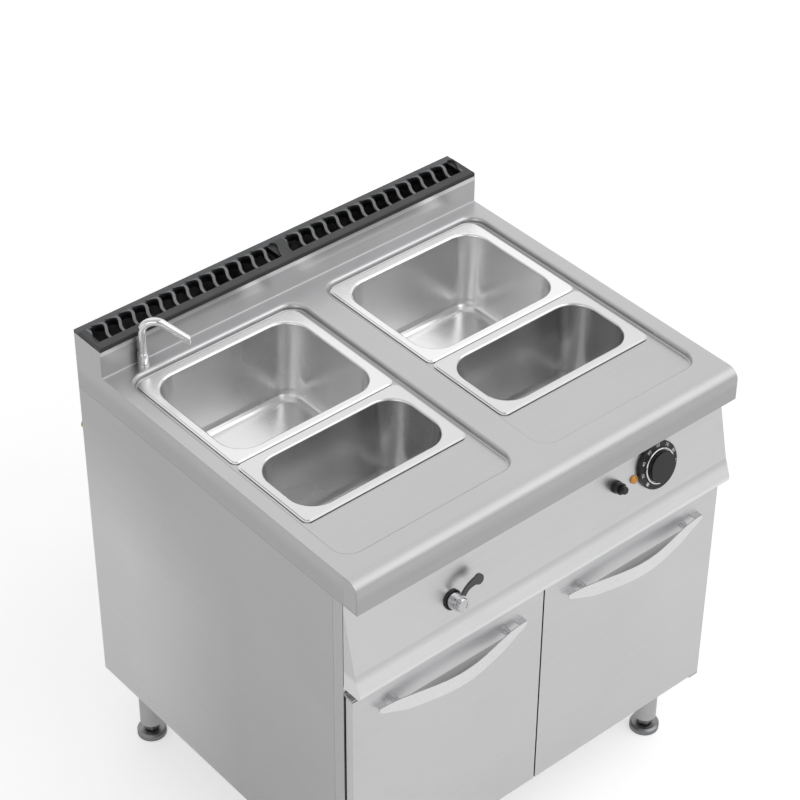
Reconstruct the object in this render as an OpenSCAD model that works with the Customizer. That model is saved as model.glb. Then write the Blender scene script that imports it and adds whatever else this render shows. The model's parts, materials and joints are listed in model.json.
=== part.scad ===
/* [Overall] */
// Width of the unit
unit_w = 800; // [760:1:860]
// Height of the worktop above the floor
worktop_h = 850; // [830:1:900]
// Thickness of the outer steel sheets
sheet = 2; // [1.5:0.1:2.5]
// Gap between seated pieces
seat_gap = 0.3; // [0.2:0.05:0.5]

/* [Worktop] */
// Height of the front nose
nose_h = 58; // [45:1:70]
// Radius of the rounded front edge
nose_r = 20; // [10:0.5:24]
// Depth that the nose returns underneath
nose_return = 31; // [24:1:40]
// Distance from the nose front to the front of each recess
recess_front = 55; // [45:1:70]
// Margin of a recess beside the pans
recess_side = 15.5; // [14.5:0.5:18]
// Margin of a recess behind the pans
recess_behind = 11.5; // [11:0.5:16]
// Depth of each recess
recess_depth = 11; // [8:0.5:14]
// Excess of a recess's corner radius over the pan rim's
recess_corner = 24; // [20:0.5:24]
// Radius of the recess's upper edge
recess_edge_r = 6.5; // [4:0.5:7]
// Radius at the foot of the recess wall
recess_foot_r = 2; // [1:0.5:4]

/* [Pans] */
// Width of every pan over its rim
pan_w = 325; // [320:1:330]
// Length of the front pans over their rims
small_pan_l = 176; // [170:1:180]
// Length of the rear pans over their rims
large_pan_l = 265; // [260:1:275]
// Depth of the pans
pan_depth = 150; // [100:1:160]
// Gap between the rims of two pans
pan_gap = 1.5; // [1:0.1:3]
// Distance from the nose front to the front pan's rim
pan_front = 164; // [155:1:170]
// Height of the pan rim above the recess floor
rim_h = 3; // [2:0.5:5]
// Width of the pan rim from its edge to the basin
rim_w = 12.5; // [10:0.5:15]
// Width of the rim's low outer lip
rim_lip = 3.5; // [2:0.5:5]
// Outer corner radius of the rim
rim_r = 12; // [8:0.5:14]
// Corner radius of the basin
basin_r = 50; // [42:1:60]
// Radius of the basin's upper edge
basin_edge_r = 5; // [3:0.5:6]
// Radius at the foot of the basin wall
basin_foot_r = 20; // [12:1:26]
// Draft of the basin wall in degrees
basin_draft = 4; // [1:0.5:5]
// Thickness of the pan sheet
pan_t = 1.2; // [0.8:0.1:1.5]

/* [Wells] */
// Thickness of the well sheet
well_t = 2; // [1.5:0.1:2.5]
// Clear depth of a well below the recess floor
well_depth = 195; // [185:1:205]
// Width that the recess floor carries under a pan rim
well_ledge = 8; // [6:0.5:10]
// Corner radius of a well
well_r = 30; // [20:1:36]
// Diameter of the heating rods
heater_d = 8.5; // [6:0.5:10]
// Height of the heating rods above the well floor
heater_lift = 14; // [10:1:18]
// Height of the perforated false bottom above the well floor
false_lift = 30; // [27:1:34]
// Diameter of the holes in the false bottom
false_hole = 12; // [8:1:16]
// Outer diameter of the overflow pipe
overflow_d = 18; // [14:1:20]
// Length of the overflow pipe above the well floor
overflow_h = 115; // [90:1:120]
// Depth of the overflow pipe's plug in its socket
plug_depth = 12; // [8:1:16]
// Outer diameter of the drain pipe
drain_d = 28; // [24:1:32]

/* [Backsplash and flue] */
// Width of the strip between the recesses and the backsplash
strip_w = 23; // [22:0.5:30]
// Depth of the flue behind the backsplash's front
flue_d = 74; // [68:1:90]
// Height of the backsplash above the worktop
splash_h = 52; // [40:1:70]
// Radius of the fold at the foot of the backsplash
splash_r = 1.2; // [1:0.1:2]
// Height of the grille above the backsplash
grille_h = 8; // [7:0.5:12]
// Depth that the grille's vanes reach below its rim
grille_drop = 6; // [2:0.5:10]
// Width of the grille's front rail
grille_front_rail = 15.5; // [14:0.5:22]
// Width of the grille's rear rail
grille_rear_rail = 15; // [10:0.5:18]
// Number of vanes in each half of the grille
vane_count = 13; // [10:1:14]
// Thickness of a vane
vane_t = 5; // [4:0.5:7]
// Sideways sweep of a vane from front to rear
vane_sweep = 14; // [8:1:16]
// Radius of the grille's rounded edges
grille_r = 3; // [2:0.5:5]

/* [Control panel] */
// Tilt of the control panel from the vertical in degrees
panel_tilt = 12.7; // [8:0.1:16]
// Height of the panel's upright top strip
panel_strip = 18; // [12:1:24]
// Height of the panel's sloping face
panel_slope_h = 111; // [100:1:120]
// Reach of the panel's lower lip in front of the slope's foot
lip_reach = 12; // [8:1:16]
// Height of the panel's lower lip
lip_h = 43; // [36:1:46]
// Sideways place of the fill valve from the left well's centre
valve_x = 0; // [-40:1:40]
// Distance of the fill valve below the worktop
valve_below = 153; // [135:1:165]
// Sideways place of the reset button from the right well's centre
reset_x = -47; // [-60:1:-40]
// Distance of the reset button below the worktop
reset_below = 123.5; // [115:0.5:135]
// Sideways place of the pilot lamp from the right well's centre
lamp_x = -8; // [-16:0.5:-7]
// Distance of the pilot lamp below the worktop
lamp_below = 129.5; // [125:0.5:150]
// Sideways place of the thermostat dial from the right well's centre
dial_x = 43.5; // [43:0.5:60]
// Distance of the thermostat dial below the worktop
dial_below = 125; // [122:0.5:130]
// Diameter of the thermostat dial
dial_d = 84; // [70:1:86]
// Diameter of the chrome ring on the dial
dial_ring_d = 61; // [50:1:64]
// Height of the dial's grip
dial_h = 18; // [14:1:24]
// Diameter of the dial's spindle
spindle_d = 6; // [5:0.5:8]
// Diameter of the pilot lamp's lens
lamp_d = 14; // [12:0.5:15]
// Diameter of the reset collar
reset_collar_d = 20; // [16:0.5:22]
// Diameter of the reset button
reset_d = 13.5; // [9:0.5:14]
// Travel of the reset button
reset_travel = 3; // [2:0.5:4]
// Diameter of the fill valve's chrome boss
boss_d = 28; // [24:1:32]
// Length of the fill valve's chrome boss
boss_l = 22; // [18:0.5:28]
// Length of the fill lever from the valve's axis
lever_l = 57; // [45:1:65]

/* [Spout] */
// Outer diameter of the spout tube
spout_d = 14; // [12:0.5:16]
// Bore of the spout tube
spout_bore = 10; // [7:0.5:11]
// Sideways place of the spout from the left well's centre
spout_x = -127; // [-140:1:-110]
// Height of the spout's bend above the worktop
spout_h = 87; // [75:1:110]
// Radius of the spout's bend
spout_r = 22; // [18:1:30]
// Angle of the spout's outlet below the horizontal
spout_drop = 38; // [20:1:50]
// Length of the spout's straight outlet
spout_l = 54; // [40:1:70]
// Direction of the spout from the right towards the front in degrees
spout_turn = 40; // [20:1:70]

/* [Cabinet] */
// Height of the cabinet floor above the ground
floor_h = 150; // [130:1:170]
// Distance of the doors' top edges below the worktop
door_below = 251; // [246:1:260]
// Gap between the two doors
door_gap = 3; // [2:0.5:5]
// Gap between a door and the unit's side
door_margin = 2.5; // [2:0.5:5]
// Thickness of a door
door_t = 16; // [14:0.5:17]
// Distance from the nose front to the doors' front faces
door_front = 15; // [12:0.5:17]
// Thickness of the door sheets
door_sheet = 1.2; // [1:0.1:1.5]
// Depth of the frame's posts
post_d = 23; // [20:1:26]
// Width of the frame's posts and rails
post_w = 25; // [22:1:30]
// Wall of the frame's tubes
post_t = 2; // [1.5:0.1:3]
// Diameter of the hinge pins
pin_d = 6; // [5:0.5:7]
// Diameter of the legs
leg_d = 40; // [34:1:46]
// Diameter of the feet
foot_d = 54; // [44:1:60]
// Height of the feet
foot_h = 12; // [8:1:16]

/* [Handles] */
// Length of a handle
handle_l = 307; // [280:1:330]
// Reach of a handle from the door at its middle
handle_reach = 32; // [28:1:36]
// Reach of a handle from the door at its ends
handle_end_reach = 11; // [9:1:14]
// Distance from the door to the rear edge of a handle's top
handle_clear = 15; // [12:1:16]
// Height of a handle's front face at its middle
handle_h = 29; // [24:1:34]
// Height of a handle's front face at its ends
handle_end_h = 13; // [10:1:18]
// Drop from the doors' top edges to a handle's top
handle_drop = 34; // [28:1:45]
// Thickness of the handle sheet
handle_t = 2; // [1.5:0.1:3]
// Diameter of a handle's posts
handle_post_d = 12; // [8:0.5:13]
// Distance of a handle's posts from its ends
handle_post_in = 37; // [30:1:45]

/* [Hidden] */
$fn = 64;

// Colours of the materials
steel = [0.78, 0.79, 0.80];
bright = [0.88, 0.89, 0.90];
cast = [0.25, 0.26, 0.28];
black = [0.09, 0.09, 0.10];
amber = [0.95, 0.55, 0.10];
brass = [0.80, 0.66, 0.36];

// Overlap that lets a cut run clear through a wall
cut = 1;
// Radial clearance of a running fit
run = 0.05;

// Places along the depth, from the nose front
handle_y = door_front - seat_gap / 3;
handle_front = handle_y - handle_reach;
inlet_out = 24;
boss_seat = 3.6;
boss_neck_h = 9;
boss_neck_d = boss_d - 12;
cap_h = 6.5;
hub_h = 5;
cap_foot = boss_seat + boss_l - boss_neck_h + seat_gap;
cap_r = boss_d / 2 - 2.4;
frame_front = door_front + door_t + 3;
frame_rear = frame_front + post_d;

// Heights
door_top = worktop_h - door_below;
valve_z = worktop_h - valve_below;
reset_z = worktop_h - reset_below;
lamp_z = worktop_h - lamp_below;
dial_z = worktop_h - dial_below;
nose_bottom = worktop_h - nose_h;
recess_floor = worktop_h - recess_depth;
rim_top = recess_floor + rim_h;
well_floor = recess_floor - well_depth;
roof_z = door_top - 24;
splash_top = worktop_h + splash_h;
grille_top = splash_top + grille_h;

// Plan places of the wells and pans
well_pitch = unit_w / 2;
pans_l = small_pan_l + large_pan_l + pan_gap;
recess_w = pan_w + 2 * recess_side;
recess_l = pan_front + pans_l + recess_behind - recess_front;
recess_r = rim_r + recess_corner;
recess_mid = recess_front + recess_l / 2;
splash_front = recess_front + recess_l + strip_w;
rear = splash_front + flue_d;
spout_y = splash_front - strip_w / 2;
well_l = pans_l - 2 * well_ledge;
well_w = pan_w - 2 * well_ledge;
well_mid = pan_front + pans_l / 2;
small_mid = pan_front + small_pan_l / 2;
large_mid = pan_front + small_pan_l + pan_gap + large_pan_l / 2;
overflow_y = pan_front + small_pan_l + pan_gap / 2;

// Control panel profile
panel_back = nose_return;
panel_top_z = nose_bottom - seat_gap;
slope_top_z = panel_top_z - panel_strip;
slope_foot_z = slope_top_z - panel_slope_h;
slope_foot = panel_back - panel_slope_h * tan(panel_tilt);
lip_front = slope_foot - lip_reach;
lip_foot_z = slope_foot_z - lip_h;
lip_r = 5;
panel_t = 2;

// Depth of the origin, halfway between the foremost and rearmost points
lever_front = panel_y(valve_z) - (cap_foot + hub_h + seat_gap + cap_h) * cos(panel_tilt)
    - cap_r * sin(panel_tilt);
origin_depth = (min(handle_front, lever_front) + rear + inlet_out) / 2;

// Doors and hinges
hinge_gap = 1.5;
hinge_plate = 3;
hinge_tab = 20;
hinge_tab_h = 9;
hinge_pin_l = 12;
door_lift = 12;
door_h = door_top - floor_h - door_lift;
door_w = unit_w / 2 - door_gap / 2 - door_margin;
door_mid = door_gap / 2 + door_w / 2;
door_bottom = door_top - door_h;
pin_inset = 6.5;
pin_x = unit_w / 2 - door_margin - pin_inset;
pin_y = door_front + door_t - 7.5;
handle_top = door_top - handle_drop;
handle_nip = 8;
handle_nip_rise = 6;
handle_rise_in = 40;
handle_rise_h = 4;
handle_flat_in = 56;

// Pipes and fittings
lever_angle = 30;
pipe_d = 12;
pipe_wall = 2;
inlet_body_d = unit_w * 0.0275;
inlet_bore_d = 15;
inlet_bore_l = 20;
inlet_tail = 20;
drain_out_z = 100;
drain_bore_l = 45;
valve_neck_d = 20;
valve_arm_d = 18;
valve_outlet_d = 20;
valve_outlet_h = 27;
drain_valve_half = 28;
drain_valve_face = 32;
drain_spindle_d = 8;

// Heaters
heater_ends = 40;
heater_inner = 42;
heater_inner_start = 60;
heater_clamp_h = 24;
heater_clamp_t = 4.7;

// Electrical parts
gland_d = 20;
gland_x = unit_w / 2 - 70;
gland_z = floor_h + 100;
gland_bore_d = 12;
gland_nut_d = 28;
gland_l = 30;
gland_out = 18;
lamp_neck_d = 10;
lamp_flange_h = 2.5;
reset_neck_d = 9;
reset_stem_d = 5;
reset_collar_h = 14;
reset_seat = 3;
reset_top = 24;
dial_seat = 1;
skirt_h = 5;
skirt_edge = 1.5;

// Louvres in the back panel
louvre_count = 12;
louvre_rows = 3;
louvre_pitch = unit_w / 16;
louvre_w = 34;
louvre_h = 5;
louvre_z = worktop_h - 230;
louvre_step = 14;

// Legs
leg_in = 50;
leg_front = frame_rear + 30;
leg_rear = rear - 60;
leg_plate = 70;
leg_plate_t = 4;
foot_thread_d = 16;

feed_x = -(well_pitch / 2 + well_w / 2 + well_t + unit_w / 2 - sheet) / 2;
feed_z = well_floor + 45;
spout_pipe_rise = 44;
spout_pipe_z = feed_z + spout_pipe_rise;
drain_x = 0;
drain_y = rear - 75;
header_z = well_floor - well_t - plug_depth - drain_d / 2 - 2;
valve_port_y = frame_rear + 17;
feed_turn_y = valve_port_y + 30;
valve_drop_z = (door_top + floor_h) / 2 + 65;

function reversed(points) = [for (i = [len(points) - 1:-1:0]) points[i]];

// Side of a drawn tray: a rounded edge, a drafted wall and a foot radius,
// offset outwards by off. x runs outwards from the opening, y upwards.
function side_curve(edge_r, foot_r, depth, draft, off) =
    let (
        start_x = -edge_r * cos(draft),
        start_y = -edge_r + edge_r * sin(draft),
        run_l = (start_y + depth - foot_r + foot_r * sin(draft)) / cos(draft),
        foot_x = start_x - run_l * sin(draft) - foot_r * cos(draft),
        foot_y = foot_r - depth,
        steps = 6
    )
    concat(
        [for (i = [0:steps]) let (a = (90 - draft) * i / steps)
            [-(edge_r - off) * sin(a), -edge_r + (edge_r - off) * cos(a)]],
        [for (i = [0:steps]) let (a = draft + (90 - draft) * i / steps)
            [foot_x + (foot_r + off) * cos(a), foot_y - (foot_r + off) * sin(a)]]
    );

// Inward distance from the opening of a drawn tray to its flat floor
function side_run(edge_r, foot_r, depth, draft) =
    let (
        start_y = -edge_r + edge_r * sin(draft),
        run_l = (start_y + depth - foot_r + foot_r * sin(draft)) / cos(draft)
    )
    edge_r * cos(draft) + run_l * sin(draft) + foot_r * cos(draft);

// Depth of the panel's outer face at height z
function panel_y(z) = panel_back - (slope_top_z - z) * tan(panel_tilt);

module place() {
    translate([0, -origin_depth, 0]) children();
}

module rounded(w, l, r) {
    square([w - 2 * r, l], center = true);
    square([w, l - 2 * r], center = true);
    for (x = [-1, 1], y = [-1, 1]) translate([x * (w / 2 - r), y * (l / 2 - r)]) circle(r);
}

// Sweeps a profile round a rounded rectangle. The profile's x runs outwards.
module sweep_rect(w, l, r) {
    for (i = [0:3]) rotate(90 * i) {
        a = i % 2 == 0 ? w : l;
        b = i % 2 == 0 ? l : w;
        translate([a / 2, b / 2 - r, 0]) rotate([90, 0, 0]) linear_extrude(b - 2 * r) children();
        translate([a / 2 - r, b / 2 - r, 0]) rotate_extrude(angle = 90) translate([r, 0]) children();
    }
}

// Extrudes a profile drawn in depth and height along the width
module across(w) {
    translate([-w / 2, 0, 0]) rotate([90, 0, 90]) linear_extrude(w) children();
}

// Sheet strip that follows a list of points, with rounded bends
module bent_strip(points, t) {
    for (i = [0:len(points) - 2]) {
        a = points[i];
        b = points[i + 1];
        translate(a) rotate(atan2(b[1] - a[1], b[0] - a[0]))
            translate([0, -t / 2]) square([norm(b - a), t]);
        if (i > 0) translate(a) circle(d = t);
    }
}

// Round rod through a list of points, with ball corners
module rod(points, d) {
    for (i = [0:len(points) - 2]) {
        a = points[i];
        v = points[i + 1] - a;
        translate(a) rotate([0, acos(v[2] / norm(v)), atan2(v[1], v[0])])
            cylinder(h = norm(v), d = d);
        if (i > 0) translate(a) sphere(d = d);
    }
}

// Frame on the panel's outer face at width x and height z: +Z points out
module on_panel(x, z) {
    translate([x, panel_y(z), z]) rotate([90 - panel_tilt, 0, 0]) children();
}

// Outline of the worktop's front in depth and height, inset by a wall
module nose_outline(inset, back) {
    r = nose_r - inset;
    top = worktop_h - inset;
    translate([nose_r, nose_bottom]) square([back - nose_r, top - nose_bottom]);
    translate([inset, nose_bottom]) square([nose_r, worktop_h - nose_r - nose_bottom]);
    translate([nose_r, worktop_h - nose_r]) circle(r);
}

module recess_tray() {
    reach = side_run(recess_edge_r, recess_foot_r, recess_depth, 0);
    translate([0, 0, worktop_h]) sweep_rect(recess_w, recess_l, recess_r)
        polygon(concat(
            side_curve(recess_edge_r, recess_foot_r, recess_depth, 0, 0),
            reversed(side_curve(recess_edge_r, recess_foot_r, recess_depth, 0, sheet))));
    translate([0, 0, recess_floor - sheet]) linear_extrude(sheet) difference() {
        rounded(recess_w - 2 * reach, recess_l - 2 * reach, recess_r - reach);
        translate([0, well_mid - recess_mid]) rounded(well_w, well_l, well_r);
    }
}

module worktop() {
    color(steel) place() {
        difference() {
            across(unit_w) difference() {
                nose_outline(0, splash_front + sheet);
                difference() {
                    nose_outline(sheet, splash_front + sheet + cut);
                    square([nose_return, nose_bottom + sheet]);
                }
                translate([nose_return, nose_bottom - cut])
                    square([splash_front, sheet + cut]);
            }
            for (side = [-1, 1]) translate([side * well_pitch / 2, recess_mid, 0])
                translate([0, 0, worktop_h - sheet - cut])
                    linear_extrude(sheet + 2 * cut) rounded(recess_w, recess_l, recess_r);
            translate([spout_x - well_pitch / 2, spout_y, worktop_h - sheet - cut])
                cylinder(h = sheet + 2 * cut, d = spout_d + 2);
        }
        for (side = [-1, 1]) {
            translate([side * well_pitch / 2, recess_mid, 0]) recess_tray();
            translate([side * (unit_w - sheet) / 2 - sheet / 2, nose_return, nose_bottom])
                cube([sheet, rear - nose_return, nose_h - sheet]);
        }
        translate([-unit_w / 2, splash_front, worktop_h - sheet]) cube([unit_w, sheet, splash_h + sheet]);
        // Fold at the foot of the backsplash
        across(unit_w) difference() {
            translate([splash_front - splash_r, worktop_h - sheet / 2])
                square([splash_r + sheet / 2, splash_r + sheet / 2]);
            translate([splash_front - splash_r, worktop_h + splash_r]) circle(splash_r);
        }
    }
}

// End plates welded into the ends of the nose
module nose_caps() {
    color(steel) place() for (side = [-1, 1])
        translate([side * (unit_w / 2 - sheet / 2), 0, 0]) across(sheet) intersection() {
            nose_outline(sheet + seat_gap, nose_return);
            translate([0, nose_bottom + sheet + seat_gap]) square([nose_return - run, nose_h]);
        }
}

// Duct behind the backsplash that carries the grille
module flue_box() {
    front = splash_front + sheet;
    color(steel) place() difference() {
        translate([-unit_w / 2, front, worktop_h - sheet])
            cube([unit_w, rear - front, splash_h + sheet]);
        translate([sheet - unit_w / 2, front + sheet, worktop_h - sheet - cut])
            cube([unit_w - 2 * sheet, rear - front - 2 * sheet, splash_h + sheet + 2 * cut]);
    }
}

// Centre line of a vane, from 0 at the front to 1 at the rear: it sweeps to
// one side, then hooks back over the rear rail
function vane_point(along, l) =
    let (
        hook = 0.7,
        f = along / hook,
        a = (along - hook) / (1 - hook) * 85
    )
    along < hook
        ? [vane_sweep * (0.55 - 0.45 * cos(180 * f ^ 1.2)), l * 0.86 * f]
        : [vane_sweep * (1 - 1.3 * (1 - cos(a))), l * (0.86 + 0.2 * sin(a))];

// Outline of a strip along a path, square at its start and rounded at its end
function strip_outline(path, t) =
    let (
        n = len(path) - 1,
        ways = [for (i = [0:n])
            let (v = path[min(i + 1, n)] - path[max(i - 1, 0)]) v / norm(v)],
        end = path[n],
        on = ways[n],
        across = [-on[1], on[0]]
    )
    concat(
        [for (i = [0:n]) path[i] + t / 2 * [-ways[i][1], ways[i][0]]],
        [for (a = [60:-30:-60]) end + t / 2 * (sin(a) * across + cos(a) * on)],
        [for (i = [n:-1:0]) path[i] - t / 2 * [-ways[i][1], ways[i][0]]]
    );

// One half of the cast grille, drawn with the seam at x = 0
module grille(side) {
    half = unit_w / 2;
    front = splash_front + 1;
    slot_front = front + grille_front_rail;
    slot_rear = rear - grille_rear_rail;
    slot_l = slot_rear - slot_front;
    steps = 14;
    end_rail = 4;
    rail_step = 2.5;
    seam = seat_gap / 2;
    // The vanes sweep the same way in both halves, so the left half is mirrored
    lean = side < 0 ? -1 : 1;
    start = vane_t / 2 + 1 + (side < 0 ? vane_sweep : 0);
    finish = half - end_rail - (side < 0 ? 0 : vane_sweep);
    pitch = (finish - start) / (vane_count + 1);
    drop_in = sheet + 1;
    lap = 1;
    path = [
        [lean * vane_point(0, slot_l)[0], -lap],
        for (i = [0:steps]) let (p = vane_point(i / steps, slot_l)) [lean * p[0], p[1]]
    ];
    color(cast) place() mirror([side < 0 ? 1 : 0, 0, 0]) intersection() {
        union() {
            // Front rail, and a rear rail that the vanes stand proud of
            translate([seam, front, splash_top]) cube([half - seam, grille_front_rail, grille_h]);
            translate([seam, slot_rear, splash_top]) cube([half - seam, grille_rear_rail, grille_h - rail_step]);
            // Tongue that drops into the duct
            translate([0, 0, splash_top - grille_drop]) linear_extrude(grille_drop + grille_h / 2) difference() {
                translate([seam + 2, front + drop_in + sheet])
                    square([half - seam - 2 - drop_in - 1, rear - front - 2 * drop_in - sheet]);
                translate([start, slot_front]) square([half - 14 - start, slot_l]);
            }
            // Curved vanes
            translate([0, 0, splash_top - grille_drop]) linear_extrude(grille_h + grille_drop)
                for (i = [1:vane_count]) translate([start + i * pitch, slot_front])
                    polygon(strip_outline(path, vane_t));
            // Solid ends beyond the outermost slots
            translate([0, 0, splash_top]) linear_extrude(grille_h) {
                translate([start, slot_front]) intersection() {
                    polygon([[-half, -lap], each path, [-half, slot_l * 1.1]]);
                    translate([seam - start, -lap]) square([half, slot_l + 2 * lap]);
                }
                translate([finish, slot_front]) intersection() {
                    polygon([[half, -lap], each path, [half, slot_l * 1.1]]);
                    translate([-half, -lap]) square([2 * half - finish + lap, slot_l + 2 * lap]);
                }
            }
        }
        // Rounded front edge
        across(unit_w * 2) {
            translate([front + grille_r, splash_top - grille_drop])
                square([rear - front - grille_r, grille_h + grille_drop]);
            translate([front, splash_top - grille_drop])
                square([grille_r + cut, grille_h + grille_drop - grille_r]);
            translate([front + grille_r, grille_top - grille_r]) circle(grille_r);
        }
        // Rounded outer end
        translate([0, rear + cut, 0]) rotate([90, 0, 0]) linear_extrude(rear) {
            translate([-1, splash_top - grille_drop])
                square([half + 1 - grille_r, grille_h + grille_drop]);
            translate([half - 2 * grille_r, splash_top - grille_drop])
                square([2 * grille_r, grille_h + grille_drop - grille_r]);
            translate([half - grille_r, grille_top - grille_r]) circle(grille_r);
        }
    }
}

module side_panel(side) {
    top = nose_bottom - seat_gap;
    flange = 9;
    color(steel) place() translate([side * (unit_w / 2 - sheet / 2), 0, 0]) {
        translate([-sheet / 2, frame_rear + seat_gap, floor_h])
            cube([sheet, rear - frame_rear - seat_gap, top - floor_h]);
        translate([side > 0 ? -sheet / 2 - flange : sheet / 2, rear - 2 * sheet - seat_gap, floor_h])
            cube([flange, sheet, top - floor_h]);
    }
}

module back_panel() {
    w = unit_w - 2 * sheet - 2 * seat_gap;
    color(steel) place() difference() {
        translate([-w / 2, rear - sheet, floor_h]) cube([w, sheet, worktop_h - sheet - seat_gap - floor_h]);
        translate([feed_x, rear - sheet - cut, feed_z]) rotate([-90, 0, 0])
            cylinder(h = sheet + 2 * cut, d = inlet_body_d + 1);
        translate([gland_x, rear - sheet - cut, gland_z]) rotate([-90, 0, 0])
            cylinder(h = sheet + 2 * cut, d = gland_d + 0.6);
        // Louvres for air into the space round the wells
        for (i = [0:louvre_count - 1], j = [0:louvre_rows - 1])
            translate([(i - (louvre_count - 1) / 2) * louvre_pitch, rear - sheet - cut,
                       louvre_z + j * louvre_step])
                cube([louvre_w, sheet + 2 * cut, louvre_h]);
    }
}

module cabinet_floor() {
    w = unit_w - 2 * sheet - 2 * seat_gap;
    lip = 20;
    color(steel) place() difference() {
        union() {
            translate([-w / 2, frame_rear + seat_gap, floor_h])
                cube([w, rear - sheet - frame_rear - 3 * seat_gap - 2 * sheet, sheet]);
            for (side = [-1, 1]) translate([side * (w / 2 - sheet / 2) - sheet / 2, frame_rear + seat_gap, floor_h])
                cube([sheet, rear - sheet - frame_rear - 3 * seat_gap - 2 * sheet, lip]);
        }
        translate([drain_x, drain_y, floor_h - cut]) cylinder(h = sheet + 2 * cut, d = drain_d + 4);
    }
}

module cabinet_roof() {
    w = unit_w - 2 * sheet - 2 * seat_gap;
    lip = 16;
    color(steel) place() difference() {
        union() {
            translate([-w / 2, frame_rear + seat_gap, roof_z])
                cube([w, rear - frame_rear - 4 * seat_gap - 3 * sheet, sheet]);
            for (side = [-1, 1]) translate([side * (w / 2 - sheet / 2) - sheet / 2, frame_rear + seat_gap, roof_z])
                cube([sheet, rear - frame_rear - 4 * seat_gap - 3 * sheet, lip]);
        }
        translate([drain_x, drain_y, roof_z - cut]) cylinder(h = sheet + 2 * cut, d = drain_d + 4);
    }
}

// One length of rectangular tube along Z, from the origin corner
module box_tube(w, d, h) {
    difference() {
        cube([w, d, h]);
        translate([post_t, post_t, -cut]) cube([w - 2 * post_t, d - 2 * post_t, h + 2 * cut]);
    }
}

module front_frame() {
    inner = unit_w - 2 * post_w;
    head_z = nose_bottom + sheet;
    color(steel) place() {
        for (side = [0, 1]) translate([side * (unit_w - post_w) - unit_w / 2, frame_front, floor_h])
            box_tube(post_w, post_d, head_z - floor_h - sheet - seat_gap);
        for (z = [floor_h, door_top + 2, nose_bottom - post_w - 2])
            translate([-inner / 2, frame_front, z]) rotate([0, 90, 0]) translate([-post_w, 0, 0])
                box_tube(post_w, post_d, inner);
    }
}

// Middle of the panel sheet in depth and height, from the top flange round the
// lip to the foot flange
function panel_line() =
    let (half = panel_t / 2, lip = lip_front + half, foot = lip_foot_z + half)
    [
        [frame_front - seat_gap - 1, panel_top_z - half],
        [panel_back + half, panel_top_z - half],
        [panel_back + half, slope_top_z],
        [slope_foot + half, slope_foot_z],
        [lip, foot + lip_r + 5],
        [lip, foot + lip_r],
        [lip + lip_r * 0.293, foot + lip_r * 0.293],
        [lip + lip_r, foot],
        [frame_front - seat_gap - half, foot],
        [frame_front - seat_gap - half, door_top + hinge_gap + hinge_tab_h + panel_t],
    ];

module panel_profile() {
    line = panel_line();
    bent_strip([for (i = [0:5]) line[i]], panel_t);
    bent_strip([for (i = [7:9]) line[i]], panel_t);
    // Rounded lip
    translate([line[7][0], line[5][1]]) intersection() {
        difference() {
            circle(lip_r + panel_t / 2);
            circle(lip_r - panel_t / 2);
        }
        translate([-2 * lip_r, -2 * lip_r]) square(2 * lip_r);
    }
}

module control_panel() {
    color(steel) place() difference() {
        union() {
            across(unit_w) panel_profile();
            // End plates of the panel
            for (side = [-1, 1]) translate([side * (unit_w / 2 - panel_t / 2), 0, 0]) across(panel_t)
                polygon([for (i = [0:8]) panel_line()[i]]);
        }
        on_panel(valve_x - well_pitch / 2, valve_z) translate([0, 0, -10])
            cylinder(h = 20, d = valve_neck_d + 1);
        on_panel(well_pitch / 2 + dial_x, dial_z) translate([0, 0, -10])
            cylinder(h = 20, d = spindle_d + 2);
        on_panel(well_pitch / 2 + lamp_x, lamp_z) translate([0, 0, -10])
            cylinder(h = 20, d = lamp_neck_d + 0.4);
        on_panel(well_pitch / 2 + reset_x, reset_z) translate([0, 0, -10])
            cylinder(h = 20, d = reset_neck_d + 0.4);
    }
}

// Welded tank under a recess
module well(side) {
    outer_w = well_w + 2 * well_t;
    outer_l = well_l + 2 * well_t;
    top = recess_floor - sheet - seat_gap;
    color(steel) place() translate([side * well_pitch / 2, well_mid, 0]) difference() {
        union() {
            translate([0, 0, well_floor - well_t]) linear_extrude(top - well_floor + well_t)
                rounded(outer_w, outer_l, well_r + well_t);
            translate([0, 0, top - well_t]) linear_extrude(well_t)
                rounded(outer_w + 16, outer_l + 16, well_r + well_t + 8);
            translate([0, overflow_y - well_mid, well_floor - well_t - plug_depth])
                cylinder(h = plug_depth + cut, d = drain_d);
        }
        translate([0, 0, well_floor]) linear_extrude(well_depth) rounded(well_w, well_l, well_r);
        translate([0, overflow_y - well_mid, well_floor - well_t - plug_depth - cut])
            cylinder(h = plug_depth + well_t + 2 * cut, d = overflow_d + 2 * run + 0.2);
        // Holes for the heating element's two ends
        for (x = [-1, 1]) translate([x * heater_ends, -well_l / 2 + cut, well_floor + heater_lift])
            rotate([90, 0, 0]) cylinder(h = well_t + 2 * cut, d = heater_d + 0.4);
    }
}

// Tubular element that lies in a loop above the well floor
module heater(side) {
    z = well_floor + heater_lift;
    back = well_l / 2 - 45;
    out = -well_l / 2 - well_t - 26;
    wide = well_w / 2 - 40;
    near = -well_l / 2 + 40;
    color([0.35, 0.35, 0.37]) place() translate([side * well_pitch / 2, well_mid, 0]) {
        rod([[-heater_ends, out, z], [-heater_ends, near, z], [-wide, near, z], [-wide, back, z],
             [-heater_inner, back, z], [-heater_inner, near + heater_inner_start, z],
             [heater_inner, near + heater_inner_start, z], [heater_inner, back, z],
             [wide, back, z], [wide, near, z], [heater_ends, near, z], [heater_ends, out, z]], heater_d);
        // Clamping plate outside the well's front wall
        translate([-heater_ends - 16, -well_l / 2 - well_t - heater_clamp_t - seat_gap,
                   z - heater_clamp_h / 2])
            cube([2 * heater_ends + 32, heater_clamp_t, heater_clamp_h]);
    }
}

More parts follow.
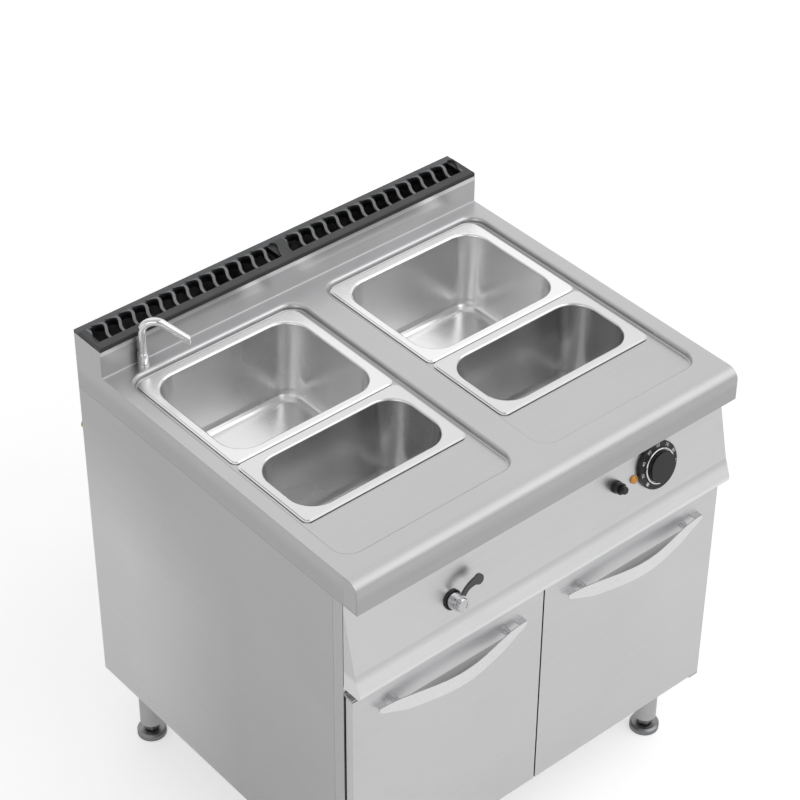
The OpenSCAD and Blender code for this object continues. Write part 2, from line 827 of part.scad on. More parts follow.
module false_bottom(side) {
    z = well_floor + false_lift;
    w = well_w - 2 * seat_gap - 1;
    l = well_l - 2 * seat_gap - 1;
    cols = 6;
    rows = 9;
    color(bright) place() translate([side * well_pitch / 2, well_mid, z]) {
        linear_extrude(sheet) difference() {
            rounded(w, l, well_r - 1);
            for (i = [0:cols - 1], j = [0:rows - 1])
                if (abs((j - (rows - 1) / 2) * l / (rows + 0.5) - (overflow_y - well_mid)) > 26
                    || abs(i - (cols - 1) / 2) > 1)
                    translate([(i - (cols - 1) / 2) * w / (cols + 0.5), (j - (rows - 1) / 2) * l / (rows + 0.5)])
                        circle(d = false_hole);
            translate([0, overflow_y - well_mid]) circle(d = overflow_d + 8);
        }
        // Feet on the well floor
        for (x = [-1, 1], y = [-1, 1])
            translate([x * (w / 2 - 20), y * (l / 2 - 22), -false_lift + seat_gap])
                cylinder(h = false_lift, d = 8);
    }
}

// Standpipe that sets the water level and plugs the drain
module overflow(side) {
    top = well_floor + overflow_h;
    color(bright) place() translate([side * well_pitch / 2, overflow_y, 0]) difference() {
        union() {
            translate([0, 0, well_floor - plug_depth + 1])
                cylinder(h = overflow_h + plug_depth - 1, d = overflow_d);
            translate([0, 0, well_floor + seat_gap]) cylinder(h = 4, d = overflow_d + 5);
        }
        translate([0, 0, well_floor - plug_depth]) cylinder(h = overflow_h + plug_depth + cut, d = overflow_d - 3);
        // Water inlets under the rim
        for (a = [0, 90]) translate([0, 0, top - 14]) rotate([90, 0, a])
            translate([0, 0, -overflow_d]) cylinder(h = 2 * overflow_d, d = 6);
    }
}

// Pipework that joins both wells and falls to the floor outlet
module drain_manifold() {
    bottom = well_floor - well_t - plug_depth - seat_gap;
    rise = bottom - header_z;
    color(steel) place() {
        for (side = [-1, 1]) {
            translate([side * well_pitch / 2, overflow_y, header_z]) cylinder(h = rise, d = drain_d);
            rod([[side * well_pitch / 2, overflow_y, header_z], [side * well_pitch / 2, drain_y, header_z]], drain_d);
            translate([side * well_pitch / 2, overflow_y, header_z]) sphere(d = drain_d);
            translate([side * well_pitch / 2, drain_y, header_z]) sphere(d = drain_d);
        }
        rod([[-well_pitch / 2, drain_y, header_z], [well_pitch / 2, drain_y, header_z]], drain_d);
        translate([drain_x, drain_y, valve_drop_z + drain_valve_half + seat_gap])
            cylinder(h = header_z - valve_drop_z - drain_valve_half - seat_gap, d = drain_d);
        difference() {
            translate([drain_x, drain_y, drain_out_z])
                cylinder(h = valve_drop_z - drain_valve_half - seat_gap - drain_out_z, d = drain_d);
            translate([drain_x, drain_y, drain_out_z - cut])
                cylinder(h = drain_bore_l + cut, d = drain_d - 2 * pipe_wall);
        }
    }
}

module drain_valve() {
    nut_h = 12;
    nut_d = drain_d + 12;
    body_d = drain_d + 6;
    ball_d = drain_d + 16;
    color(brass) place() translate([drain_x, drain_y, valve_drop_z]) {
        for (z = [-drain_valve_half, drain_valve_half - nut_h]) translate([0, 0, z])
            cylinder(h = nut_h, d = nut_d, $fn = 6);
        translate([0, 0, -drain_valve_half + nut_h / 2])
            cylinder(h = 2 * drain_valve_half - nut_h, d = body_d);
        sphere(d = ball_d);
        // Spindle that carries the lever
        rotate([90, 0, 0]) cylinder(h = drain_valve_face, d = drain_spindle_d + 6);
        rotate([90, 0, 0]) cylinder(h = drain_valve_face + 9, d = drain_spindle_d);
    }
}

module drain_lever() {
    y = drain_y - drain_valve_face - seat_gap;
    arm_t = 4;
    arm_w = 16;
    grip_from = 30;
    grip_to = 105;
    grip_t = 12;
    color("firebrick") place() translate([drain_x, y, valve_drop_z]) rotate([90, 0, 0]) difference() {
        union() {
            cylinder(h = arm_t, d = arm_w + 6);
            translate([0, -arm_w / 2, 0]) cube([grip_from + arm_t, arm_w, arm_t]);
            translate([grip_from, -arm_w / 2, 0]) cube([grip_to - grip_from, arm_w, grip_t]);
            translate([grip_to, 0, 0]) cylinder(h = grip_t, d = arm_w);
        }
        translate([0, 0, -cut]) cylinder(h = arm_t + 2 * cut, d = drain_spindle_d + 2 * run);
    }
}

// Threaded stub for the water supply
module inlet_fitting() {
    nut_h = 8;
    color(brass) place() translate([feed_x, rear + inlet_out, feed_z]) rotate([90, 0, 0]) difference() {
        union() {
            cylinder(h = inlet_out + inlet_tail, d = inlet_body_d);
            translate([0, 0, inlet_out - nut_h]) cylinder(h = nut_h - seat_gap, d = inlet_body_d + 10, $fn = 6);
        }
        translate([0, 0, -cut]) cylinder(h = inlet_bore_l + cut, d = inlet_bore_d);
    }
}

// Pipe from the inlet to the fill valve
module feed_pipe() {
    start = rear - inlet_tail - seat_gap;
    color("peru") place() rod([
        [feed_x, start, feed_z],
        [feed_x, feed_turn_y, feed_z],
        [valve_x - well_pitch / 2, feed_turn_y, feed_z],
        [valve_x - well_pitch / 2, valve_port_y + 10 + seat_gap, feed_z]], pipe_d);
}

// Pipe from the fill valve to the spout
module spout_pipe() {
    stem_x = spout_x - well_pitch / 2;
    color("peru") place() rod([
        [valve_x - well_pitch / 2, valve_port_y, valve_z - valve_outlet_d / 2 + valve_outlet_h],
        [valve_x - well_pitch / 2, valve_port_y, spout_pipe_z],
        [feed_x, valve_port_y, spout_pipe_z],
        [feed_x, spout_y, spout_pipe_z],
        [stem_x, spout_y, spout_pipe_z],
        [stem_x, spout_y, worktop_h - sheet - 22 - seat_gap]], pipe_d);
}

// Valve behind the panel
module valve_body() {
    body_l = 40;
    body_d = 30;
    nut_h = 6;
    arm_start = 20;
    color(brass) place() {
        on_panel(valve_x - well_pitch / 2, valve_z) {
            translate([0, 0, -panel_t - body_l - nut_h + 2]) cylinder(h = body_l, d = body_d);
            translate([0, 0, -panel_t - seat_gap - nut_h]) cylinder(h = nut_h, d = body_d + 4, $fn = 6);
            translate([0, 0, -panel_t - 20]) cylinder(h = panel_t + 22, d = valve_neck_d);
        }
        // Outlet boss on top
        translate([valve_x - well_pitch / 2, valve_port_y, valve_z - valve_outlet_d / 2])
            cylinder(h = valve_outlet_h - seat_gap, d = valve_outlet_d);
        translate([valve_x - well_pitch / 2, panel_y(valve_z) + arm_start, valve_z - 5]) rotate([-90, 0, 0])
            cylinder(h = valve_port_y - panel_y(valve_z) - arm_start, d = valve_arm_d);
    }
}

module valve_ring() {
    bead = 1.6;
    inner = valve_neck_d / 2 + seat_gap;
    color(black) place() on_panel(valve_x - well_pitch / 2, valve_z)
        translate([0, 0, seat_gap]) rotate_extrude() {
            translate([inner, 0]) square([boss_d / 2 + bead - inner, 2]);
            translate([boss_d / 2 + bead, bead]) circle(bead);
        }
}

module valve_boss() {
    color(bright) place() on_panel(valve_x - well_pitch / 2, valve_z) translate([0, 0, boss_seat]) {
        cylinder(h = boss_l - boss_neck_h, d = boss_d);
        translate([0, 0, boss_l - boss_neck_h]) cylinder(h = boss_neck_h, d = boss_neck_d);
    }
}

// Half width of the lever's blade at a distance from its axis
function blade_half(x) =
    let (root = 4.2, tip = 9, f = max(0, (x / lever_l - 0.4) / 0.6))
    root + (tip - root) * (0.5 - 0.5 * cos(f * 180));

// Lever: a hub on the boss and a curved blade that widens to a round tip
module fill_lever() {
    steps = 12;
    tip_r = 9;
    blade_t = 4;
    bow = 8;
    reach = lever_l - tip_r;
    mid = [for (i = [0:steps]) let (x = reach * i / steps) [x, bow * sin(x / reach * 180)]];
    color(black) place() on_panel(valve_x - well_pitch / 2, valve_z) translate([0, 0, cap_foot])
        difference() {
            union() {
                cylinder(h = hub_h, r = cap_r + 0.4);
                rotate(lever_angle) linear_extrude(blade_t) {
                    polygon(concat(
                        [for (p = mid) [p[0], p[1] + blade_half(p[0])]],
                        [for (i = [steps:-1:0]) [mid[i][0], mid[i][1] - blade_half(mid[i][0])]]));
                    translate([reach, 0]) circle(tip_r);
                }
            }
            // Seat on the boss
            translate([0, 0, -cut])
                cylinder(h = hub_h + 2 * cut, d = boss_neck_d + 2 * seat_gap);
        }
}

// Bright fluted cap that holds the lever on the boss
module lever_cap() {
    flutes = 8;
    flute_r = 2.4;
    edge = 1.5;
    bore_h = boss_neck_h - hub_h;
    bore_r = boss_neck_d / 2 + seat_gap;
    dish_r = cap_r - 5;
    color(bright) place() on_panel(valve_x - well_pitch / 2, valve_z)
        translate([0, 0, cap_foot + hub_h + seat_gap]) difference() {
            rotate_extrude() polygon([
                [bore_r, 0], [cap_r, 0], [cap_r, cap_h - edge], [cap_r - edge, cap_h],
                [dish_r, cap_h], [dish_r, cap_h - 1], [0, cap_h - 1], [0, bore_h], [bore_r, bore_h]
            ]);
            for (i = [0:flutes - 1]) rotate((i + 0.5) * 360 / flutes)
                translate([cap_r + 1.2, 0, -1]) cylinder(h = cap_h + 2, r = flute_r);
        }
}

module spout_base() {
    stem_x = spout_x - well_pitch / 2;
    flange_d = strip_w - 2 * splash_r - 0.6;
    color(bright) place() translate([stem_x, spout_y, worktop_h]) difference() {
        union() {
            cylinder(h = 3, d = flange_d);
            translate([0, 0, 3]) cylinder(h = 21, d = flange_d - 1.6);
            translate([0, 0, -sheet - 22]) cylinder(h = 22 + sheet + cut, d = spout_d);
            translate([0, 0, -sheet - seat_gap - 5]) cylinder(h = 5, d = 24, $fn = 6);
        }
        translate([0, 0, 6]) cylinder(h = 20, d = spout_d + 2 * run);
    }
}

// Swan neck: a stem, one bend and a short outlet that is cut upright
module spout() {
    stem_x = spout_x - well_pitch / 2;
    lap = 0.8;
    bend_step = 0.1;
    arc_z = spout_h - spout_r;
    turn = 90 + spout_drop;
    foot = 6 + seat_gap;
    end_x = spout_r - spout_r * cos(turn);
    end_z = arc_z + spout_r * sin(turn);
    color(bright) place() translate([stem_x, spout_y, worktop_h]) rotate(-spout_turn) difference() {
        union() {
            translate([0, 0, foot]) cylinder(h = arc_z - foot + lap, d = spout_d - bend_step);
            translate([0, 0, arc_z]) rotate([-90, 0, 0]) translate([spout_r, 0, 0])
                rotate(180) rotate_extrude(angle = turn) translate([spout_r, 0]) circle(d = spout_d);
            translate([end_x, 0, end_z]) rotate([0, 90 + spout_drop, 0])
                translate([0, 0, -lap]) cylinder(h = spout_l + spout_d + lap, d = spout_d - bend_step);
        }
        translate([end_x + spout_l * cos(spout_drop), -spout_d, 0])
            cube([2 * spout_d, 2 * spout_d, spout_h]);
        translate([end_x, 0, end_z]) rotate([0, 90 + spout_drop, 0])
            translate([0, 0, spout_d / 2]) cylinder(h = spout_l + spout_d, d = spout_bore);
    }
}

// Drawn pan with a stepped rim
module pan(side, l, mid) {
    open_w = pan_w - 2 * rim_w;
    open_l = l - 2 * rim_w;
    reach = side_run(basin_edge_r, basin_foot_r, pan_depth, basin_draft);
    top_w = pan_w - 2 * rim_lip;
    top_l = l - 2 * rim_lip;
    top_r = rim_r - rim_lip;
    lip_z = seat_gap - rim_h;
    color(bright) place() translate([side * well_pitch / 2, mid, rim_top]) {
        translate([0, 0, lip_z]) linear_extrude(pan_t) difference() {
            rounded(pan_w, l, rim_r);
            rounded(top_w - pan_t, top_l - pan_t, top_r);
        }
        translate([0, 0, lip_z]) linear_extrude(-lip_z) difference() {
            rounded(top_w, top_l, top_r);
            rounded(top_w - 2 * pan_t, top_l - 2 * pan_t, top_r - pan_t);
        }
        translate([0, 0, -pan_t]) linear_extrude(pan_t) difference() {
            rounded(top_w - pan_t, top_l - pan_t, top_r);
            rounded(open_w, open_l, basin_r);
        }
        sweep_rect(open_w, open_l, basin_r)
            polygon(concat(
                side_curve(basin_edge_r, basin_foot_r, pan_depth, basin_draft, 0),
                reversed(side_curve(basin_edge_r, basin_foot_r, pan_depth, basin_draft, pan_t))));
        translate([0, 0, -pan_depth - pan_t]) linear_extrude(pan_t)
            rounded(open_w - 2 * reach, open_l - 2 * reach, basin_r - reach);
    }
}

module thermostat() {
    color("dimgray") place() on_panel(well_pitch / 2 + dial_x, dial_z) {
        translate([-24, -24, -panel_t - seat_gap - 34]) cube([48, 48, 34]);
        translate([0, 0, -panel_t - 10]) cylinder(h = panel_t + 4 + dial_h, d = spindle_d);
    }
}

module dial_knob() {
    grip_d = dial_ring_d - 6;
    cap = 4;
    color(black) place() on_panel(well_pitch / 2 + dial_x, dial_z) translate([0, 0, dial_seat]) difference() {
        union() {
            cylinder(h = skirt_h, d = dial_d);
            translate([0, 0, skirt_h])
                cylinder(h = skirt_edge, d1 = dial_d, d2 = dial_d - 2 * skirt_edge, $fn = 96);
            cylinder(h = dial_h - cap, d = grip_d);
            translate([0, 0, dial_h - cap]) cylinder(h = cap, d = grip_d - 2);
        }
        translate([0, 0, -cut]) cylinder(h = dial_h - 6 + cut, d = spindle_d + 2 * run);
    }
}

module dial_ring() {
    color(bright) place() on_panel(well_pitch / 2 + dial_x, dial_z)
        translate([0, 0, dial_seat + skirt_h + skirt_edge + seat_gap]) rotate_extrude() {
            translate([dial_ring_d / 2 - 2.9, 0]) square([3.4, 2.5]);
            translate([dial_ring_d / 2 - 0.7, 2.3]) circle(1.8);
        }
}

module pilot_lamp() {
    color(amber) place() on_panel(well_pitch / 2 + lamp_x, lamp_z) {
        translate([0, 0, seat_gap]) cylinder(h = lamp_flange_h, d = lamp_d);
        intersection() {
            translate([0, 0, lamp_flange_h - lamp_d * 0.45]) sphere(d = lamp_d * 1.25);
            translate([0, 0, lamp_flange_h - 0.5]) cylinder(h = lamp_d, d = lamp_d - 1.4);
        }
        translate([0, 0, -24]) cylinder(h = 25, d = lamp_neck_d);
    }
}

module reset_switch() {
    color("dimgray") place() on_panel(well_pitch / 2 + reset_x, reset_z) difference() {
        union() {
            translate([-18, -12, -panel_t - seat_gap - 26]) cube([36, 24, 26]);
            translate([0, 0, -panel_t - 10]) cylinder(h = panel_t + 12, d = reset_neck_d);
        }
        translate([0, 0, -20]) cylinder(h = 40, d = reset_stem_d + 0.4);
    }
}

module reset_collar() {
    color(black) place() on_panel(well_pitch / 2 + reset_x, reset_z) translate([0, 0, seat_gap]) difference() {
        union() {
            cylinder(h = 4, d = reset_collar_d + 2);
            translate([0, 0, 4]) cylinder(h = reset_collar_h - 4, d = reset_collar_d);
        }
        translate([0, 0, -cut]) cylinder(h = 4 + cut, d = reset_neck_d + 0.2);
        translate([0, 0, reset_seat]) cylinder(h = reset_collar_h, d = reset_d + 0.8);
    }
}

module reset_button() {
    color(black) place() on_panel(well_pitch / 2 + reset_x, reset_z) {
        foot = seat_gap + reset_seat + reset_travel + 1.2;
        edge = 1.5;
        translate([0, 0, foot]) cylinder(h = reset_top - edge - foot, d = reset_d);
        translate([0, 0, reset_top - edge]) cylinder(h = edge, d1 = reset_d, d2 = reset_d - 2.5, $fn = 48);
        translate([0, 0, -6]) cylinder(h = foot + 7, d = reset_stem_d);
    }
}

module terminal_box() {
    w = 90;
    d = 60;
    h = 60;
    wall = 8;
    color("dimgray") place() translate([unit_w / 2 - 15 - w - wall, rear - sheet - seat_gap - d, gland_z + 40])
        difference() {
            cube([w, d, h]);
            translate([wall, -cut, wall]) cube([w - 2 * wall, d - 2 * wall + cut, h - 2 * wall]);
        }
}

// Gland for the supply cable
module cable_gland() {
    color(black) place() translate([gland_x, rear + gland_out, gland_z]) rotate([90, 0, 0]) difference() {
        union() {
            cylinder(h = gland_l, d = gland_d);
            translate([0, 0, 12]) cylinder(h = gland_out - 12 - seat_gap, d = gland_nut_d, $fn = 6);
            translate([0, 0, gland_out + sheet + seat_gap]) cylinder(h = 5, d = gland_nut_d, $fn = 6);
            cylinder(h = 10, d = gland_d + 4, $fn = 12);
        }
        translate([0, 0, -cut]) cylinder(h = gland_l + 2 * cut, d = gland_bore_d);
    }
}

// Folded outer door sheet with two bores for the hinge pins
module door(side) {
    color(steel) place() difference() {
        translate([side * door_mid - door_w / 2, door_front, door_bottom]) difference() {
            cube([door_w, door_t, door_h]);
            translate([door_sheet, door_sheet, door_sheet])
                cube([door_w - 2 * door_sheet, door_t, door_h - 2 * door_sheet]);
        }
        translate([side * pin_x, pin_y, door_bottom - cut]) cylinder(h = door_h + 2 * cut, d = pin_d + 2 * run);
    }
}

// Inner door sheet with its edge lip and pivot bushes
module door_liner(side) {
    gap = door_sheet + seat_gap;
    lip = 10;
    back = door_front + door_t - door_sheet;
    color(steel) place() difference() {
        union() {
            translate([side * door_mid - door_w / 2 + gap, back - lip, door_bottom + gap]) difference() {
                cube([door_w - 2 * gap, lip + door_sheet, door_h - 2 * gap]);
                translate([door_sheet, -cut, door_sheet])
                    cube([door_w - 2 * gap - 2 * door_sheet, lip + cut, door_h - 2 * gap - 2 * door_sheet]);
            }
            for (z = [door_bottom + gap, door_top - gap - 14])
                translate([side * pin_x - 4.6, pin_y - 5, z]) cube([9.2, 11, 14]);
        }
        translate([side * pin_x, pin_y, door_bottom - cut]) cylinder(h = door_h + 2 * cut, d = pin_d + 2 * run);
    }
}

// Reach of a handle's front edge from the door at distance x from its middle
function handle_out(x) = handle_end_reach
    + (handle_reach - handle_end_reach) * (0.5 + 0.5 * cos(360 * x / handle_l));

// Visor handle: a flat top, a bowed front face and two round posts
module handle(side) {
    half = handle_l / 2;
    steps = 40;
    foot = 16;
    outer = [for (i = [0:steps]) let (x = -half + handle_l * i / steps) [x, -handle_out(x)]];
    inner = [for (i = [0:steps]) let (x = -half + handle_l * i / steps) [x, handle_t - handle_out(x)]];
    post_x = half - handle_post_in;
    color(bright) place() translate([side * door_mid, handle_y, handle_top]) {
        // Top
        translate([0, 0, -handle_t]) linear_extrude(handle_t) difference() {
            polygon(concat(outer, [[half, 0], [-half, 0]]));
            translate([-half + foot + handle_clear / 2, -handle_clear])
                square([handle_l - 2 * foot - handle_clear, handle_clear + cut]);
            for (s = [-1, 1]) translate([s * (half - foot - handle_clear / 2), -handle_clear / 2]) {
                circle(d = handle_clear);
                translate([-handle_clear / 2, 0]) square([handle_clear, handle_clear]);
            }
        }
        // Front face
        intersection() {
            translate([0, 0, -handle_h]) linear_extrude(handle_h) polygon(concat(outer, reversed(inner)));
            rotate([90, 0, 0]) translate([0, 0, -cut]) linear_extrude(handle_reach + 4 * cut) {
                polygon([[-half, 0], [half, 0], [half, handle_nip_rise - handle_end_h],
                         [half - handle_nip, -handle_end_h],
                         [half - handle_rise_in, handle_rise_h - handle_h],
                         [half - handle_flat_in, -handle_h], [handle_flat_in - half, -handle_h],
                         [handle_rise_in - half, handle_rise_h - handle_h],
                         [handle_nip - half, -handle_end_h], [-half, handle_nip_rise - handle_end_h]]);
            }
        }
        // Posts
        for (s = [-1, 1]) translate([s * post_x, 0, -handle_t - handle_post_d / 2]) rotate([90, 0, 0])
            cylinder(h = handle_out(post_x) - handle_t / 2, d = handle_post_d);
    }
}

// Upper and lower pivot brackets with their pins
module hinge(side) {
    reach = 8;
    left = side * pin_x - (side > 0 ? hinge_tab - 7 : 7);
    for (top = [0, 1]) {
        z = top == 1 ? door_top + hinge_gap : door_bottom - hinge_gap - hinge_plate;
        color(steel) place() {
            translate([left, pin_y - reach, z]) cube([hinge_tab, frame_front - pin_y + reach, hinge_plate]);
            translate([left, frame_front - hinge_plate, z - (top == 1 ? 0 : hinge_tab_h - hinge_plate)])
                cube([hinge_tab, hinge_plate - seat_gap / 3, hinge_tab_h]);
            translate([side * pin_x, pin_y, top == 1 ? z - hinge_pin_l : z + hinge_plate - cut])
                cylinder(h = hinge_pin_l + cut, d = pin_d);
        }
    }
}

// Magnetic catches under the upper rail
module catches() {
    color(black) place() for (side = [-1, 1])
        translate([side * 40 - 18, frame_front - 2, door_top - 16]) {
            cube([36, 20, 14]);
            translate([3, 10, 10]) cube([30, 10, 8 - seat_gap]);
        }
}

// Round legs bolted under the floor
module legs() {
    leg_foot = foot_h + 18;
    color(steel) place() for (x = [-1, 1], y = [leg_front, leg_rear])
        translate([x * (unit_w / 2 - leg_in), y, 0]) {
            translate([0, 0, floor_h - leg_plate_t - seat_gap]) linear_extrude(leg_plate_t)
                rounded(leg_plate, leg_plate, 8);
            difference() {
                translate([0, 0, leg_foot]) cylinder(h = floor_h - leg_plate_t - leg_foot, d = leg_d);
                translate([0, 0, foot_h])
                    cylinder(h = floor_h - foot_h - 24, d = foot_thread_d + 2 * run + 0.1);
            }
        }
}

// Screw feet that set the height
module feet() {
    slope_h = 3;
    nut_h = 8;
    color("dimgray") place() for (x = [-1, 1], y = [leg_front, leg_rear])
        translate([x * (unit_w / 2 - leg_in), y, 0]) {
            cylinder(h = foot_h - slope_h, d = foot_d);
            translate([0, 0, foot_h - slope_h]) cylinder(h = slope_h, d1 = foot_d, d2 = foot_d - 8, $fn = 48);
            cylinder(h = floor_h - 60, d = foot_thread_d);
            translate([0, 0, foot_h + 4]) cylinder(h = nut_h, d = foot_thread_d + 14, $fn = 6);
        }
}

// Pan-head screws that hold the back panel
module rear_screws() {
    head_d = 8;
    head_h = 2.2;
    from_edge = 9;
    first = floor_h + 60;
    last = nose_bottom - 60;
    color(bright) place() for (x = [-1, 1], i = [0:3])
        translate([x * (unit_w / 2 - from_edge), rear, first + (last - first) * i / 3])
            rotate([-90, 0, 0]) cylinder(h = head_h, d = head_d);
}

worktop();
nose_caps();
flue_box();
grille(-1);  // grille_left
grille(1);  // grille_right
side_panel(-1);  // side_panel_left
side_panel(1);  // side_panel_right
back_panel();
cabinet_floor();
cabinet_roof();
front_frame();
control_panel();
well(-1);  // well_left
well(1);  // well_right
heater(-1);  // heater_left
heater(1);  // heater_right
false_bottom(-1);  // false_bottom_left
false_bottom(1);  // false_bottom_right
overflow(-1);  // overflow_left
overflow(1);  // overflow_right
drain_manifold();
drain_valve();
drain_lever();
inlet_fitting();
feed_pipe();
spout_pipe();
valve_body();
valve_ring();
valve_boss();
fill_lever();
lever_cap();
spout_base();
spout();
pan(-1, small_pan_l, small_mid);  // pan_front_left
pan(1, small_pan_l, small_mid);  // pan_front_right
pan(-1, large_pan_l, large_mid);  // pan_rear_left
pan(1, large_pan_l, large_mid);  // pan_rear_right
thermostat();
dial_knob();
dial_ring();
pilot_lamp();
reset_switch();
reset_collar();
reset_button();
terminal_box();
cable_gland();
door(-1);  // door_left
door(1);  // door_right
door_liner(-1);  // door_liner_left
door_liner(1);  // door_liner_right
handle(-1);  // handle_left
handle(1);  // handle_right
hinge(-1);  // hinge_left
hinge(1);  // hinge_right
catches();
legs();
feet();
rear_screws();
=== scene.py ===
# Bain-marie with cabinet: materials, dial marks, floor, lights and camera.
import json
import math

import bpy
from mathutils import Matrix, Vector


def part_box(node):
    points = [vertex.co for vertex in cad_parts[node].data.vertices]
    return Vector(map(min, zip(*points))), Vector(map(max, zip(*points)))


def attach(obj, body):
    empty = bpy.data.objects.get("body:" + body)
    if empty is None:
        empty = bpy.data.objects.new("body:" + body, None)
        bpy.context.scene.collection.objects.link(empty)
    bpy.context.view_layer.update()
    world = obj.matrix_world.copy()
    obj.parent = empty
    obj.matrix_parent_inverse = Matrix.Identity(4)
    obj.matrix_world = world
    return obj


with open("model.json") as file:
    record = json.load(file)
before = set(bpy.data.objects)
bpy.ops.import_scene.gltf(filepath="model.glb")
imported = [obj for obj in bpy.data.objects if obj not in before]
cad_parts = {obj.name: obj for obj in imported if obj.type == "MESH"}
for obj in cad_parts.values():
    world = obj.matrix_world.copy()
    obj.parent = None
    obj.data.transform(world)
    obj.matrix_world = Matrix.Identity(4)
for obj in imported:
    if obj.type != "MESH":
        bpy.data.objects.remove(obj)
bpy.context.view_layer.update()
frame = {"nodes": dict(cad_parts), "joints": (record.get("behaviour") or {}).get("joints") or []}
NODES = frame["nodes"]
JOINTS = {joint["name"]: joint for joint in frame["joints"]}
scene = bpy.context.scene

# Camera: where the photograph was taken from
CAMERA_PLACE = (-2.0717, -2.4024, 3.2924)
AZIMUTH = math.radians(-40.126)
ELEVATION = math.radians(37.918)
ROLL = math.radians(0.092)
LENS = 111.2
SHIFT = (0.0213, -0.0287)
back = Vector((math.sin(AZIMUTH) * math.cos(ELEVATION), -math.cos(AZIMUTH) * math.cos(ELEVATION),
               math.sin(ELEVATION)))
right0 = Vector((math.cos(AZIMUTH), math.sin(AZIMUTH), 0))
up0 = back.cross(right0)
right = right0 * math.cos(ROLL) + up0 * math.sin(ROLL)
up = up0 * math.cos(ROLL) - right0 * math.sin(ROLL)
cam_data = bpy.data.cameras.new("camera")
cam_data.lens = LENS
cam_data.sensor_width = 36
cam_data.shift_x, cam_data.shift_y = SHIFT
cam_data.clip_start, cam_data.clip_end = 0.1, 60
camera = bpy.data.objects.new("camera", cam_data)
scene.collection.objects.link(camera)
camera.rotation_mode = "QUATERNION"
camera.rotation_quaternion = Matrix((right, up, back)).transposed().to_quaternion()
camera.location = CAMERA_PLACE
scene.camera = camera
scene.view_settings.view_transform = "Standard"


# Materials
class Net:
    """A node tree with short calls for the nodes that are used over and over."""

    def __init__(self, tree):
        self.tree = tree
        self.tree.nodes.clear()

    def node(self, kind, **settings):
        made = self.tree.nodes.new("ShaderNode" + kind)
        for key, value in settings.items():
            setattr(made, key, value)
        return made

    def link(self, source, socket):
        self.tree.links.new(source, socket)

    def feed(self, socket, value):
        """Set a socket to a number or link it to another node's output."""
        if isinstance(value, (int, float)):
            socket.default_value = value
        else:
            self.link(value, socket)

    def span(self, value, lo, hi, lo_in=0.3, hi_in=0.7, interpolation="LINEAR"):
        """Map a value from lo_in..hi_in to lo..hi and hold it there outside."""
        made = self.node("MapRange", interpolation_type=interpolation)
        for key, number in (("From Min", lo_in), ("From Max", hi_in), ("To Min", lo), ("To Max", hi)):
            made.inputs[key].default_value = number
        self.link(value, made.inputs["Value"])
        return made.outputs[0]

    def step(self, value, off, on):
        """A mask that is 0 at off and 1 at on."""
        return self.span(value, 0, 1, off, on)

    def math(self, kind, *values):
        made = self.node("Math", operation=kind)
        for socket, value in zip(made.inputs, values):
            self.feed(socket, value)
        return made.outputs[0]

    def both(self, first, *others):
        """Masks multiplied, so the result is 1 only where all of them are."""
        for other in others:
            first = self.math("MULTIPLY", first, other)
        return first

    def part(self, vector, axis):
        """One component of a vector."""
        made = self.node("SeparateXYZ")
        self.link(vector, made.inputs[0])
        return made.outputs["XYZ".index(axis)]

    def length(self, vector):
        made = self.node("VectorMath", operation="LENGTH")
        self.link(vector, made.inputs[0])
        return made.outputs["Value"]


